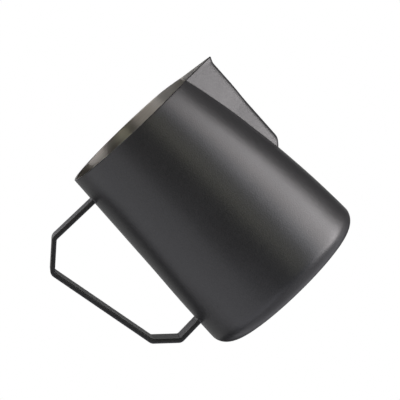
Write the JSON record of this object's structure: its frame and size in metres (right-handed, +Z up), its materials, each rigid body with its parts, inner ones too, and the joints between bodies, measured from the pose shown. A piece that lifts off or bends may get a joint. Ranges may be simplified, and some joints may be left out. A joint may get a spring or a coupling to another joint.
{
  "type": "milk frothing pitcher",
  "caption": "Tapered steel milk pitcher with a sharp V spout, an angular flat strap handle, a matt black outside and a bare steel inside.",
  "frame": {"origin": "on the body's axis, in the plane of the foot that the pitcher stands on", "axes": "+Z is up along the body's axis, +X points out through the spout and the handle is on -X, +Y completes a right-handed frame"},
  "size_m": [0.1288, 0.0902, 0.1106],
  "materials": {
    "black_coat": "matt, fine-grained black coating over stainless steel",
    "bare_steel": "satin, brushed round the axis, on the inside of the body and the spout and on the cut rim"
  },
  "bodies": {
    "root": {"body_shell": "black_coat", "spout": "black_coat", "spout_seam": "black_coat", "handle": "black_coat", "handle_weld_upper": "black_coat", "handle_weld_lower": "black_coat"}
  },
  "joints": []
}
